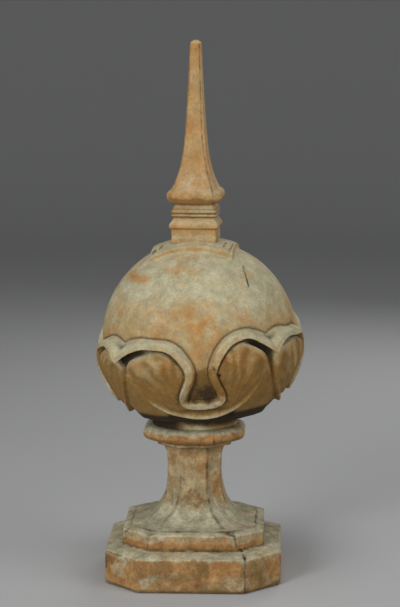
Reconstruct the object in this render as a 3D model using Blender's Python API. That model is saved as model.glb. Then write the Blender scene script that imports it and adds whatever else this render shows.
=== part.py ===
# Terracotta pinnacle: a pedestal, a ball held in a cup of four leaves, and a tapering spire.
# Metres, +Z up. The origin is the centre of the plinth's underside, and the front faces -Y.
# Plans are squares with cut corners, given by "half", from the axis to a side, and "flat",
# half the length of a side between its cut corners.

import math

import bmesh
import bpy
from mathutils import Matrix, Vector

# The spire takes up what the pedestal and ball leave of this height
OVERALL_HEIGHT = 0.975

# Pedestal, from the ground up
PLINTH_HALF = 0.159
PLINTH_FLAT = 0.095
PLINTH_HEIGHT = 0.062
WEATHERING_RISE = 0.008
STEP_HALF = 0.1275
STEP_FLAT = 0.079
STEP_HEIGHT = 0.0275
STEP_WEATHERING = 0.0055
STEM_FOOT_HALF = 0.113
STEM_FOOT_FLAT = 0.0685
WAIST_HALF = 0.0487
WAIST_FLAT = 0.024
WAIST_RISE = 0.1025
STEM_SWEEP = 2.6
STEM_TOP_HALF = 0.057
STEM_TOP_FLAT = 0.026
STEM_TOP_RISE = 0.038
STEM_HOLLOW = 0.07
FILLET_HALF = 0.0677
FILLET_FLAT = 0.029
FILLET_HEIGHT = 0.008
COLLAR_HALF = 0.0922
COLLAR_FLAT = 0.038
COLLAR_HEIGHT = 0.027
COLLAR_NECK = 0.022
COLLAR_TOP_EDGE = 0.009

# Ball and its seat on the collar
BALL_RADIUS = 0.1764
BALL_OFFSET = 0.0084
BALL_LEAN = 3.0
BALL_TURN = -0.6
UNDERSIDE_DROP = 0.1545
SEAT_RADIUS = 0.064
SEAT_HEIGHT = 0.005
SEAT_BITE = 0.02
CUP_LEAN = 1.3
PAD_HALF = 0.0752
PAD_HALF_DEPTH = 0.064
PAD_RISE = 0.008
PAD_TURN = -3.9
BED_GAP = 0.0003

# Leaves: angles in degrees on the ball, across from a leaf's middle and up from the equator
LEAF_COUNT = 4
CLEFT_SWAY = 3.5
CLEFT_FOOT = (0.0, -32.5)
CLEFT_CORNER = (9.0, -31.0)
CLEFT_BULB = (11.0, -26.0)
CLEFT_WAIST = (6.0, -13.0)
CLEFT_MOUTH = (9.5, -3.0)
LOBE_SHOULDER = (17.0, 5.0)
LOBE_CREST = (28.0, 8.0)
LOBE_FALL = (37.5, 6.0)
LEAF_CORNER = (45.0, 2.6)
BLADE_CROWN = (26.0, 4.0)
BLADE_EAR = (38.0, -2.0)
BLADE_EDGE = (43.0, -7.0)
BLADE_CENTRE = -5.0
BLADE_HALF_WIDTH = 43.5
BLADE_DEPTH = 38.8
BLADE_CROWN_RISE = 0.0145
BLADE_FOOT_RISE = 0.0045
BLADE_FOOT_LIP = 0.002
BLADE_SHOULDER = 0.0055
BLADE_CROWN_START = -2.0
BLADE_CROWN_FALL = 8.0
LEAF_ROOT = 0.005
SEPAL_RISE = 0.0032
SEPAL_OUTLINE = ((0.0, -11.0), (5.0, -20.0), (16.0, -34.0), (24.0, -54.0))

# Rolled lip: how far it stands out, how wide it is and how far it hangs, along its run
LIP_OUT = (0.0105, 0.0120, 0.0140, 0.0155, 0.0155, 0.0170, 0.0190, 0.022, 0.028)
LIP_WIDE = (0.012, 0.013, 0.0145, 0.015, 0.015, 0.015, 0.015, 0.0135, 0.011)
LIP_HANG = (0.0, 0.0, 0.0, 0.0, 0.001, 0.002, 0.003, 0.010, 0.018)
LIP_SECTION = ((-1.0, 0.6), (-0.55, 0.95), (0.35, 1.0), (1.0, 0.88), (1.05, 0.62), (0.45, 0.45))

# Spire, from the ball up
NECK_HALF = 0.0402
NECK_CUT = 0.0015
NECK_HEIGHT = 0.0213
DRIP_HALF = 0.0442
DRIP_SOFFIT_HALF = 0.0425
DRIP_TOP_HALF = 0.0360
DRIP_HEIGHT = 0.0208
BEAD_HALF = 0.0405
BEAD_QUIRK = 0.0018
LOWER_BEAD_HEIGHT = 0.0064
UPPER_BEAD_HEIGHT = 0.0083
BEADS_SLOPE = 0.0085
RING_CUT = 0.004
UNDERCUT_HALF = 0.0330
BELL_HALF = 0.0492
BELL_RISE = 0.0145
BELL_FLARE = 0.0268
BELL_FLARE_LENGTH = 0.0365
BELL_CUT = 0.0135
BELL_CUT_LENGTH = 0.018
TIP_HALF = 0.0092
TIP_ROUNDING = 0.012
SPIRE_CUT_SHARE = 0.12
SPIRE_OFFSET = 0.0020
SPIRE_TURN = -3.8

# Fineness of the facets
BALL_SIDES = 48
BED_SIDES = 64
HOLLOW_STEPS = 3
SWEEP_STEPS = 11
TAPER_STEPS = 15
LIP_STEPS = 3
OUTLINE_STEPS = 12
BLANK_COLUMNS = 12
BLANK_ROWS = 7

step_base = PLINTH_HEIGHT + WEATHERING_RISE
step_top = step_base + STEP_HEIGHT
stem_base = step_top + STEP_WEATHERING
waist_level = stem_base + WAIST_RISE
fillet_base = waist_level + STEM_TOP_RISE
collar_base = fillet_base + FILLET_HEIGHT
collar_top = collar_base + COLLAR_HEIGHT
ball_level = collar_top + SEAT_HEIGHT + UNDERSIDE_DROP
dome_radius = BALL_RADIUS + PAD_RISE
neck_base = ball_level + math.sqrt(dome_radius ** 2 - NECK_HALF ** 2)
bead_rise = NECK_HEIGHT + DRIP_HEIGHT
groove_rise = bead_rise + LOWER_BEAD_HEIGHT
undercut_rise = groove_rise + UPPER_BEAD_HEIGHT + BEADS_SLOPE
bell_rise = undercut_rise + BELL_RISE
spike_length = OVERALL_HEIGHT - neck_base - bell_rise


def clear_scene():
    for thing in list(bpy.data.objects):
        bpy.data.objects.remove(thing)


def collection(name):
    made = bpy.data.collections.new(name)
    bpy.context.scene.collection.children.link(made)
    return made


def terracotta(name, colour, roughness):
    material = bpy.data.materials.new(name)
    material.use_nodes = True
    shader = material.node_tree.nodes["Principled BSDF"]
    shader.inputs["Base Color"].default_value = (*colour, 1.0)
    shader.inputs["Roughness"].default_value = roughness
    shader.inputs["Metallic"].default_value = 0.0
    return material


def add_object(name, bm, home, material=None):
    """Turns a bmesh into a named object of a collection."""
    mesh = bpy.data.meshes.new(name)
    bm.to_mesh(mesh)
    bm.free()
    made = bpy.data.objects.new(name, mesh)
    home.objects.link(made)
    if material:
        mesh.materials.append(material)
    return made


def mark_as_stock(made):
    """Stock and cutters are only read by modifiers."""
    made.hide_render = True
    made.display_type = "WIRE"
    return made


def boolean(target, operation, other):
    modifier = target.modifiers.new(operation.lower(), "BOOLEAN")
    modifier.operation = operation
    modifier.solver = "EXACT"
    if isinstance(other, bpy.types.Collection):
        modifier.operand_type = "COLLECTION"
        modifier.collection = other
    else:
        modifier.object = other
    return modifier


def evaluated_mesh(made):
    bpy.context.view_layer.update()
    depsgraph = bpy.context.evaluated_depsgraph_get()
    return bpy.data.meshes.new_from_object(made.evaluated_get(depsgraph))


def cut_square(half, flat, hollow=0.0):
    """Points of a square with cut corners; hollow scoops each cut by a share of its length."""
    points = []
    for quarter in range(4):
        turn = Matrix.Rotation(quarter * math.pi / 2, 2)
        depth = hollow * math.sqrt(2) * (half - flat)
        for step in range(HOLLOW_STEPS + 1):
            t = step / HOLLOW_STEPS
            scoop = depth * math.sin(math.pi * t) / math.sqrt(2)
            corner = Vector((half + (flat - half) * t - scoop, flat + (half - flat) * t - scoop))
            points.append(turn @ corner)
    return points


def loft(sections):
    """A closed bmesh through flat rings, each a height with its points."""
    bm = bmesh.new()
    rings = [[bm.verts.new((p.x, p.y, level)) for p in points] for level, points in sections]
    for low, high in zip(rings, rings[1:]):
        for i in range(len(low)):
            j = (i + 1) % len(low)
            bm.faces.new((low[i], low[j], high[j], high[i]))
    bm.faces.new(reversed(rings[0]))
    bm.faces.new(rings[-1])
    return bm


def stem_sections():
    """Scotia from the stem's foot to its waist, then the flare up to the fillet."""
    sections = []
    for step in range(SWEEP_STEPS + 1):
        fall = math.cos(step / SWEEP_STEPS * math.pi / 2)
        reach = (1 - fall ** STEM_SWEEP) ** (1 / STEM_SWEEP)
        half = STEM_FOOT_HALF - (STEM_FOOT_HALF - WAIST_HALF) * reach
        flat = STEM_FOOT_FLAT - (STEM_FOOT_FLAT - WAIST_FLAT) * reach
        sections.append((waist_level - WAIST_RISE * fall, half, flat, STEM_HOLLOW * reach))
    for t in (0.45, 0.75, 1.0):
        half = WAIST_HALF + (STEM_TOP_HALF - WAIST_HALF) * t ** 3
        flat = WAIST_FLAT + (STEM_TOP_FLAT - WAIST_FLAT) * t ** 3
        sections.append((waist_level + STEM_TOP_RISE * t, half, flat, STEM_HOLLOW * (1 - t ** 3)))
    return sections


def collar_sections():
    """Fillet and the rounded collar above it."""
    sections = [
        (fillet_base, FILLET_HALF, FILLET_FLAT, 0.0),
        (collar_base, FILLET_HALF, FILLET_FLAT, 0.0),
    ]
    for degrees in (-80, -50, -20, 10, 38, 65):
        swell = math.cos(math.radians(degrees))
        lift = (math.sin(math.radians(degrees)) + 1) / 2
        edge = COLLAR_NECK if degrees < 0 else COLLAR_TOP_EDGE
        half = COLLAR_HALF - edge * (1 - swell)
        sections.append((collar_base + COLLAR_HEIGHT * lift, half, COLLAR_FLAT * half / COLLAR_HALF, 0.0))
    top_half = COLLAR_HALF - COLLAR_TOP_EDGE
    sections.append((collar_top, top_half, COLLAR_FLAT * top_half / COLLAR_HALF, 0.0))
    return sections


def make_pedestal(home, material):
    sections = [
        (0.0, PLINTH_HALF, PLINTH_FLAT, 0.0),
        (PLINTH_HEIGHT, PLINTH_HALF, PLINTH_FLAT, 0.0),
        (step_base, STEP_HALF, STEP_FLAT, 0.0),
        (step_top, STEP_HALF, STEP_FLAT, 0.0),
    ]
    sections += stem_sections() + collar_sections()
    bm = loft([(level, cut_square(half, flat, hollow)) for level, half, flat, hollow in sections])
    return add_object("pedestal", bm, home, material)


def spire_profile():
    """Heights above the ball with the half width and the corner cut at each."""
    drip_base = NECK_HEIGHT
    profile = [
        (-NECK_HALF, NECK_HALF, NECK_CUT),
        (drip_base, NECK_HALF, NECK_CUT),
        (drip_base + 0.0005, DRIP_SOFFIT_HALF, NECK_CUT),
        (drip_base + 0.12 * DRIP_HEIGHT, DRIP_HALF, NECK_CUT),
        (drip_base + 0.38 * DRIP_HEIGHT, DRIP_HALF, NECK_CUT),
        (drip_base + 0.65 * DRIP_HEIGHT, 0.5 * (DRIP_HALF + DRIP_TOP_HALF), NECK_CUT),
        (bead_rise - 0.0005, DRIP_TOP_HALF, RING_CUT),
        (bead_rise, BEAD_HALF - BEAD_QUIRK, RING_CUT),
        (bead_rise + 0.2 * LOWER_BEAD_HEIGHT, BEAD_HALF, RING_CUT),
        (bead_rise + 0.8 * LOWER_BEAD_HEIGHT, BEAD_HALF, RING_CUT),
        (groove_rise, BEAD_HALF - BEAD_QUIRK, RING_CUT),
        (groove_rise + 0.2 * UPPER_BEAD_HEIGHT, BEAD_HALF, RING_CUT),
        (groove_rise + UPPER_BEAD_HEIGHT, BEAD_HALF, RING_CUT),
        (undercut_rise - 0.3 * BEADS_SLOPE, 0.3 * BEAD_HALF + 0.7 * UNDERCUT_HALF, RING_CUT),
        (undercut_rise, UNDERCUT_HALF, RING_CUT),
    ]
    for degrees in (15, 40, 65):
        out = math.sin(math.radians(degrees))
        rise = 1 - math.cos(math.radians(degrees))
        half = UNDERCUT_HALF + (BELL_HALF - UNDERCUT_HALF) * out
        profile.append((undercut_rise + BELL_RISE * rise, half, RING_CUT + (BELL_CUT - RING_CUT) * out))
    bell_taper = (BELL_HALF - BELL_FLARE - TIP_HALF) / spike_length
    for step in range(TAPER_STEPS + 1):
        rise = (spike_length - TIP_ROUNDING) * (step / TAPER_STEPS) ** 1.7
        half = TIP_HALF + bell_taper * (spike_length - rise) + BELL_FLARE * math.exp(-rise / BELL_FLARE_LENGTH)
        share = SPIRE_CUT_SHARE * half
        profile.append((bell_rise + rise, half, share + (BELL_CUT - share) * math.exp(-rise / BELL_CUT_LENGTH)))
    tip_base = profile[-1][1]
    for degrees in (30, 55, 75):
        half = tip_base * math.cos(math.radians(degrees))
        rise = spike_length - TIP_ROUNDING * (1 - math.sin(math.radians(degrees)))
        profile.append((bell_rise + rise, half, 0.3 * half))
    return profile


def make_spire(home, stock, material):
    sections = [(neck_base + rise, cut_square(half, half - cut)) for rise, half, cut in spire_profile()]
    spire = add_object("spire", loft(sections), home, material)
    spire.location.x = SPIRE_OFFSET
    spire.rotation_euler.z = math.radians(SPIRE_TURN)
    bed = bmesh.new()
    bmesh.ops.create_uvsphere(bed, u_segments=BED_SIDES, v_segments=BED_SIDES // 2, radius=dome_radius + BED_GAP)
    bed_cutter = mark_as_stock(add_object("spire_bed_cutter", bed, stock))
    bed_cutter.location = (BALL_OFFSET, 0.0, ball_level)
    boolean(spire, "DIFFERENCE", bed_cutter)
    return spire


def swayed(across):
    """Leaves sway a little to one side at their clefts, and meet at their corners."""
    return across + CLEFT_SWAY * max(0.0, 1 - abs(across) / LEAF_CORNER[0])


def on_ball(across, up, height):
    """A point over the ball, from degrees across and up and a height above its surface."""
    a, b = math.radians(across), math.radians(up)
    reach = BALL_RADIUS + height
    return Vector((reach * math.cos(b) * math.sin(a), -reach * math.cos(b) * math.cos(a), reach * math.sin(b)))


def smooth_run(points, steps):
    """A Catmull-Rom run through the points, each a tuple of numbers."""
    run = []
    for i in range(len(points) - 1):
        before = points[max(i - 1, 0)]
        after = points[min(i + 2, len(points) - 1)]
        for step in range(steps):
            t = step / steps
            weights = (
                -0.5 * t + t * t - 0.5 * t ** 3,
                1 - 2.5 * t * t + 1.5 * t ** 3,
                0.5 * t + 2 * t * t - 1.5 * t ** 3,
                -0.5 * t * t + 0.5 * t ** 3,
            )
            around = (before, points[i], points[i + 1], after)
            run.append(tuple(sum(w * p[k] for w, p in zip(weights, around)) for k in range(len(points[0]))))
    run.append(tuple(points[-1]))
    return run


def blade_rise(across, up):
    """How far a leaf's blade stands off the ball: full under the lip, thin at its foot."""
    drop = max(0.0, min(1.0, (BLADE_CENTRE - up) / BLADE_DEPTH))
    rise = BLADE_CROWN_RISE + (BLADE_FOOT_RISE - BLADE_CROWN_RISE) * drop ** 1.3
    rim = math.hypot(across / BLADE_HALF_WIDTH, min(0.0, up - BLADE_CENTRE) / BLADE_DEPTH)
    side = max(0.0, rim - 0.8) / 0.2
    rise -= BLADE_SHOULDER * (1 - drop) * side ** 2
    rise += BLADE_FOOT_LIP * drop * side
    crown = max(0.0, up - BLADE_CROWN_START) / BLADE_CROWN_FALL
    return rise - BLADE_SHOULDER * min(1.0, crown)


def blade_outline():
    """One leaf's outline: up its cleft, under its lobe, and round its foot, on both sides."""
    cleft = [CLEFT_FOOT, CLEFT_CORNER, CLEFT_BULB, CLEFT_WAIST, CLEFT_MOUTH, LOBE_SHOULDER]
    half = smooth_run(cleft + [BLADE_CROWN, BLADE_EAR, BLADE_EDGE], LIP_STEPS)
    start = math.degrees(math.asin((BLADE_CENTRE - BLADE_EDGE[1]) / BLADE_DEPTH))
    for step in range(1, OUTLINE_STEPS):
        angle = math.radians(start + (90 - start) * step / OUTLINE_STEPS)
        half.append((BLADE_HALF_WIDTH * math.cos(angle), BLADE_CENTRE - BLADE_DEPTH * math.sin(angle)))
    foot = (0.0, BLADE_CENTRE - BLADE_DEPTH)
    return half + [foot] + [(-across, up) for across, up in reversed(half[1:])]


def flat_template(name, outline, thickness, stock):
    """A plate of an outline given in degrees, laid out flat in metres along the ball."""
    curve = bpy.data.curves.new(name, "CURVE")
    curve.dimensions = "2D"
    curve.fill_mode = "BOTH"
    curve.extrude = thickness / 2
    spline = curve.splines.new("POLY")
    spline.points.add(len(outline) - 1)
    for point, (across, up) in zip(spline.points, outline):
        point.co = (math.radians(across) * BALL_RADIUS, math.radians(up) * BALL_RADIUS, 0.0, 1.0)
    spline.use_cyclic_u = True
    plate = bpy.data.objects.new(name, curve)
    stock.objects.link(plate)
    bm = bmesh.new()
    bm.from_mesh(evaluated_mesh(plate))
    bmesh.ops.remove_doubles(bm, verts=bm.verts, dist=0.00001)
    bpy.data.objects.remove(plate)
    return mark_as_stock(add_object(name, bm, stock))


def gridded_blank(name, outline, thickness, stock):
    """A flat slab of small squares that covers an outline."""
    across = [math.radians(p[0]) * BALL_RADIUS for p in outline]
    up = [math.radians(p[1]) * BALL_RADIUS for p in outline]
    size = Vector((max(across) - min(across), max(up) - min(up), thickness))
    centre = Vector(((max(across) + min(across)) / 2, (max(up) + min(up)) / 2, 0.0))
    bm = bmesh.new()
    bmesh.ops.create_cube(bm, size=1.0, matrix=Matrix.Translation(centre) @ Matrix.Diagonal((*(1.02 * size), 1.0)))
    for axis, cuts in ((0, BLANK_COLUMNS), (1, BLANK_ROWS)):
        for cut in range(1, cuts):
            place = centre.copy()
            place[axis] += 1.02 * size[axis] * (cut / cuts - 0.5)
            normal = Vector((0.0, 0.0, 0.0))
            normal[axis] = 1.0
            bmesh.ops.bisect_plane(bm, geom=bm.verts[:] + bm.edges[:] + bm.faces[:], plane_co=place, plane_no=normal)
    return add_object(name, bm, stock)


def wrapped_plate(name, outline, rise, centre, stock):
    """Cuts a slab to an outline and bends it round the ball, with its back sunk in the ball."""
    thickness = 0.02
    template = flat_template(name + "_template", outline, 2 * thickness, stock)
    blank = gridded_blank(name + "_blank", outline, thickness, stock)
    boolean(blank, "INTERSECT", template)
    bm = bmesh.new()
    bm.from_mesh(evaluated_mesh(blank))
    bpy.data.objects.remove(blank)
    bpy.data.objects.remove(template)
    bmesh.ops.triangulate(bm, faces=bm.faces)
    for vert in bm.verts:
        across = math.degrees(vert.co.x / BALL_RADIUS)
        up = math.degrees(vert.co.y / BALL_RADIUS)
        vert.co = on_ball(swayed(across), up, rise(across, up) if vert.co.z > 0 else -LEAF_ROOT)
    bmesh.ops.recalc_face_normals(bm, faces=bm.faces)
    plate = mark_as_stock(add_object(name, bm, stock))
    plate.parent = centre
    return plate


def lip_stations():
    """The lip's run round one leaf: degrees across and up, then its size at each place."""
    run = [CLEFT_FOOT, CLEFT_CORNER, CLEFT_BULB, CLEFT_WAIST, CLEFT_MOUTH]
    run += [LOBE_SHOULDER, LOBE_CREST, LOBE_FALL, LEAF_CORNER]
    half = smooth_run([(*p, *size) for p, *size in zip(run, LIP_OUT, LIP_WIDE, LIP_HANG)], LIP_STEPS)
    return [(-s[0], *s[1:]) for s in reversed(half[1:])] + half[:-1]


def make_lip(stock, centre):
    """The rolled lip that runs unbroken round the tops of all the leaves."""
    stations = []
    for leaf in range(LEAF_COUNT):
        turn = 360.0 / LEAF_COUNT * leaf
        stations += [(swayed(s[0]) + turn, *s[1:]) for s in lip_stations()]
    bm = bmesh.new()
    rings = []
    count = len(stations)
    for i, (across, up, out, wide, hang) in enumerate(stations):
        before = on_ball(*stations[i - 1][:2], 0.0)
        after = on_ball(*stations[(i + 1) % count][:2], 0.0)
        outward = on_ball(across, up, 0.0).normalized()
        sideways = (after - before).cross(outward).normalized()
        root = on_ball(across, up, 0.0)
        section = [(-1.0, -LEAF_ROOT / out)] + list(LIP_SECTION) + [(0.3, -LEAF_ROOT / out)]
        ring = []
        for side, rise in section:
            fall = hang * max(0.0, rise)
            place = root + sideways * side * wide / 2 + outward * out * rise - Vector((0.0, 0.0, fall))
            ring.append(bm.verts.new(place))
        rings.append(ring)
    for i, ring in enumerate(rings):
        following = rings[(i + 1) % count]
        for j in range(len(ring)):
            k = (j + 1) % len(ring)
            bm.faces.new((ring[j], ring[k], following[k], following[j]))
    bmesh.ops.recalc_face_normals(bm, faces=bm.faces)
    lip = mark_as_stock(add_object("leaf_lip_stock", bm, stock))
    lip.parent = centre
    return lip


def make_pad(stock, centre):
    """The square pad on top of the ball, cut from a slightly larger ball."""
    bm = bmesh.new()
    bmesh.ops.create_uvsphere(bm, u_segments=BALL_SIDES, v_segments=BALL_SIDES // 2, radius=dome_radius)
    pad = mark_as_stock(add_object("pad_stock", bm, stock))
    box = bmesh.new()
    height = BALL_RADIUS
    bmesh.ops.create_cube(
        box,
        size=1.0,
        matrix=Matrix.Translation((0, 0, height)) @ Matrix.Diagonal((2 * PAD_HALF, 2 * PAD_HALF_DEPTH, height, 1)),
    )
    template = mark_as_stock(add_object("pad_template", box, stock))
    template.rotation_euler.z = math.radians(PAD_TURN)
    boolean(pad, "INTERSECT", template)
    pad.data = evaluated_mesh(pad)
    pad.modifiers.clear()
    bpy.data.objects.remove(template)
    pad.parent = centre
    return pad


def make_ball(home, stock, material):
    """The ball with its leaves and pad, leaning a little, on an upright seat."""
    centre = bpy.data.objects.new("ball_centre", None)
    home.objects.link(centre)
    centre.location = (BALL_OFFSET, 0.0, ball_level)
    centre.rotation_euler = (0.0, math.radians(-BALL_LEAN), math.radians(BALL_TURN))

    cup = bpy.data.objects.new("cup_centre", None)
    home.objects.link(cup)
    cup.parent = centre
    cup.rotation_euler.y = math.radians(-CUP_LEAN)

    joined = bpy.data.collections.new("leaf and pad stock")
    stock.children.link(joined)
    sepal = list(SEPAL_OUTLINE) + [(-across, up) for across, up in reversed(SEPAL_OUTLINE[1:])]
    blade = wrapped_plate("blade", blade_outline(), blade_rise, cup, joined)
    under = wrapped_plate("sepal", sepal, lambda across, up: SEPAL_RISE, cup, joined)
    for leaf in range(LEAF_COUNT):
        turn = 2 * math.pi / LEAF_COUNT
        for made, start in ((blade, 0.0), (under, 0.5)):
            copy = made if leaf == 0 else mark_as_stock(bpy.data.objects.new(f"{made.name}_{leaf}", made.data))
            copy.parent = cup
            copy.rotation_euler.z = turn * (leaf + start)
            if leaf:
                joined.objects.link(copy)
    make_lip(joined, cup)
    make_pad(joined, centre)

    bm = bmesh.new()
    bmesh.ops.create_uvsphere(bm, u_segments=BALL_SIDES, v_segments=BALL_SIDES // 2, radius=BALL_RADIUS)
    ball = add_object("leafed_ball", bm, home, material)
    ball.parent = centre

    box = bmesh.new()
    bmesh.ops.create_cube(box, size=2 * BALL_RADIUS * 1.4)
    underside = mark_as_stock(add_object("underside_cutter", box, stock))
    underside.parent = centre
    underside.location.z = -UNDERSIDE_DROP - BALL_RADIUS * 1.4

    seat = bmesh.new()
    seat_top = SEAT_HEIGHT + SEAT_BITE
    middle = collar_top + BED_GAP + (seat_top - BED_GAP) / 2
    bmesh.ops.create_cone(
        seat, cap_ends=True, segments=32, radius1=SEAT_RADIUS, radius2=SEAT_RADIUS, depth=seat_top - BED_GAP
    )
    seat_stock = mark_as_stock(add_object("seat_stock", seat, stock))
    seat_stock.location = (0.0, 0.0, middle)

    boolean(ball, "UNION", joined)
    boolean(ball, "DIFFERENCE", underside)
    boolean(ball, "UNION", seat_stock)
    return ball


def main():
    clear_scene()
    pinnacle = collection("pinnacle")
    stock = collection("stock and cutters")
    buff = terracotta("buff terracotta", (0.46, 0.36, 0.23), 0.9)
    weathered = terracotta("weathered terracotta", (0.44, 0.35, 0.22), 0.92)
    warm = terracotta("warm terracotta", (0.50, 0.34, 0.20), 0.88)
    make_pedestal(pinnacle, weathered)
    make_ball(pinnacle, stock, buff)
    make_spire(pinnacle, stock, warm)


main()
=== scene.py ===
import math
import bmesh
import bpy
import numpy as np
from mathutils import Matrix, Vector


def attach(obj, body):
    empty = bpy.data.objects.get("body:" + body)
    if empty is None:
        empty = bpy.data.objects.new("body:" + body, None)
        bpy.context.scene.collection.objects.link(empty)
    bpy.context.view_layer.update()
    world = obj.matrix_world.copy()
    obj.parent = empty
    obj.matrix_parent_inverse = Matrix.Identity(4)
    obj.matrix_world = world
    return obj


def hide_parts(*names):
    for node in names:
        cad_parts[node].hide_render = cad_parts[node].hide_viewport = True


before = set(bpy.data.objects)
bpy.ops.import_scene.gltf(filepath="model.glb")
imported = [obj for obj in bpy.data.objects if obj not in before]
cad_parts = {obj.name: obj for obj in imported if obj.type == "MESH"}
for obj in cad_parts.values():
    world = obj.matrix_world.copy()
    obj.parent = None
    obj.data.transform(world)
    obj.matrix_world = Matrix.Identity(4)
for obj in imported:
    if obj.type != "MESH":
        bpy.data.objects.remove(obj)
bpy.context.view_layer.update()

# sizes in metres and degrees, +Z up, the front faces -Y, the origin is under the middle of the plinth


def smoothRun(points, steps):
    # Catmull-Rom through the points
    run = []
    for i in range(len(points) - 1):
        around = (points[max(i - 1, 0)], points[i], points[i + 1], points[min(i + 2, len(points) - 1)])
        for step in range(steps):
            t = step / steps
            weights = (
                -0.5 * t + t * t - 0.5 * t ** 3,
                1 - 2.5 * t * t + 1.5 * t ** 3,
                0.5 * t + 2 * t * t - 1.5 * t ** 3,
                -0.5 * t * t + 0.5 * t ** 3,
            )
            run.append(tuple(sum(w * p[k] for w, p in zip(weights, around)) for k in range(len(points[0]))))
    run.append(tuple(points[-1]))
    return run


def cutSquare(half, flat, hollow=0.0, steps=6):
    # a square with its corners cut, each cut scooped by a share of its length
    points = []
    for quarter in range(4):
        turn = Matrix.Rotation(quarter * math.pi / 2, 2)
        for step in range(steps + 1):
            t = step / steps
            scoop = hollow * (half - flat) * math.sin(math.pi * t)
            points.append(turn @ Vector((half + (flat - half) * t - scoop, flat + (half - flat) * t - scoop)))
    return points


def sweepLoop(bm, rings, closed=False):
    # one loop of edges is extruded from ring to ring, then bridged or capped
    verts = [bm.verts.new(place) for place in rings[0]]
    firstLoop = [bm.edges.new((verts[i - 1], verts[i])) for i in range(len(verts))]
    loop = firstLoop
    for ring in rings[1:]:
        made = set(bmesh.ops.extrude_edge_only(bm, edges=loop)["geom"])
        following = []
        for old in verts:
            following.append(next(e.other_vert(old) for e in old.link_edges if e.other_vert(old) in made))
        for vert, place in zip(following, ring):
            vert.co = place
        loop = [bm.edges.get((following[i - 1], following[i])) for i in range(len(following))]
        verts = following
    if closed:
        bmesh.ops.bridge_loops(bm, edges=firstLoop + loop)
    else:
        bmesh.ops.holes_fill(bm, edges=firstLoop + loop)
    bmesh.ops.recalc_face_normals(bm, faces=bm.faces)


def addPiece(name, bm):
    mesh = bpy.data.meshes.new(name)
    bm.to_mesh(mesh)
    bm.free()
    piece = bpy.data.objects.new(name, mesh)
    bpy.context.scene.collection.objects.link(piece)
    return piece


def settled(piece):
    # the piece with its modifiers applied
    bpy.context.view_layer.update()
    depsgraph = bpy.context.evaluated_depsgraph_get()
    mesh = bpy.data.meshes.new_from_object(piece.evaluated_get(depsgraph))
    piece.modifiers.clear()
    old = piece.data
    piece.data = mesh
    mesh.name = piece.name
    bpy.data.meshes.remove(old)
    return piece


def fuse(piece, voxel):
    # overlapping parts become one skin of even facets, as modelled clay is
    remesh = piece.modifiers.new("fuse", "REMESH")
    remesh.mode = "VOXEL"
    remesh.voxel_size = voxel
    remesh.adaptivity = 0.0
    remesh.use_smooth_shade = True
    return settled(piece)


def thin(piece, most):
    # fewer facets where the skin is calm
    count = sum(len(p.vertices) - 2 for p in piece.data.polygons)
    if count > most:
        calm = piece.modifiers.new("thin", "DECIMATE")
        calm.ratio = most / count
        settled(piece)
        piece.data.shade_smooth()


def lumps(points, seed):
    # smooth noise on a grid of random values
    cell = np.floor(points).astype(np.int64)
    t = points - cell
    t = t * t * (3 - 2 * t)
    total = np.zeros(len(points))
    for corner in range(8):
        step = np.array([corner & 1, corner >> 1 & 1, corner >> 2 & 1])
        x, y, z = (cell + step).T
        value = (x * 374761393 + y * 668265263 + z * 1440662683 + seed * 974634777) & 0xFFFFFFFF
        value = (value ^ (value >> 13)) * 1274126177 & 0xFFFFFFFF
        value = ((value ^ (value >> 16)) & 0xFFFF) / 32767.5 - 1
        total += value * np.prod(np.where(step, t, 1 - t), axis=1)
    return total


class Skin:
    # a piece's points as arrays, for carving and painting
    def __init__(self, piece):
        self.mesh = piece.data
        count = len(self.mesh.vertices)
        self.points = np.empty(count * 3, np.float32)
        self.mesh.vertices.foreach_get("co", self.points)
        self.points = self.points.reshape(-1, 3).astype(float)
        self.edges = np.empty(len(self.mesh.edges) * 2, np.int32)
        self.mesh.edges.foreach_get("vertices", self.edges)
        self.edges = self.edges.reshape(-1, 2)
        self.links = np.bincount(self.edges.ravel(), minlength=count)[:, None]
        self.refresh()

    def refresh(self):
        self.mesh.vertices.foreach_set("co", self.points.astype(np.float32).ravel())
        self.mesh.update()
        normals = np.empty(len(self.points) * 3, np.float32)
        self.mesh.vertices.foreach_get("normal", normals)
        self.normals = normals.reshape(-1, 3).astype(float)

    def spread(self, rounds):
        # the points, each drifted towards its neighbours' mean
        places = self.points.copy()
        for _ in range(rounds):
            total = np.zeros_like(places)
            for k in range(3):
                total[:, k] = np.bincount(self.edges[:, 0], places[self.edges[:, 1], k], len(places))
                total[:, k] += np.bincount(self.edges[:, 1], places[self.edges[:, 0], k], len(places))
            places += 0.5 * (total / np.maximum(self.links, 1) - places)
        return places

    def bend(self, rounds):
        # above zero in hollows, below zero on arrises, in metres
        return ((self.spread(rounds) - self.points) * self.normals).sum(1)

    def push(self, amount):
        # out along the normals
        self.points += self.normals * np.asarray(amount, float).reshape(-1, 1)
        self.refresh()

    def grain(self, size, octaves, seed):
        # soft noise from about -1 to 1, with lumps of the given size
        return sum(0.5 ** k * lumps(self.points * 2 ** k / size, seed + k) for k in range(octaves))

    def paint(self, name, values):
        layer = self.mesh.attributes.new(name, "FLOAT", "POINT")
        layer.data.foreach_set("value", np.clip(values, 0, 1).astype(np.float32))


def farFrom(x, y, line):
    # each point's distance from a run of places
    best = np.full(len(x), 1e9)
    for (ax, ay), (bx, by) in zip(line, line[1:]):
        dx, dy = bx - ax, by - ay
        t = np.clip(((x - ax) * dx + (y - ay) * dy) / max(dx * dx + dy * dy, 1e-12), 0, 1)
        best = np.minimum(best, np.hypot(x - ax - t * dx, y - ay - t * dy))
    return best


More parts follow.
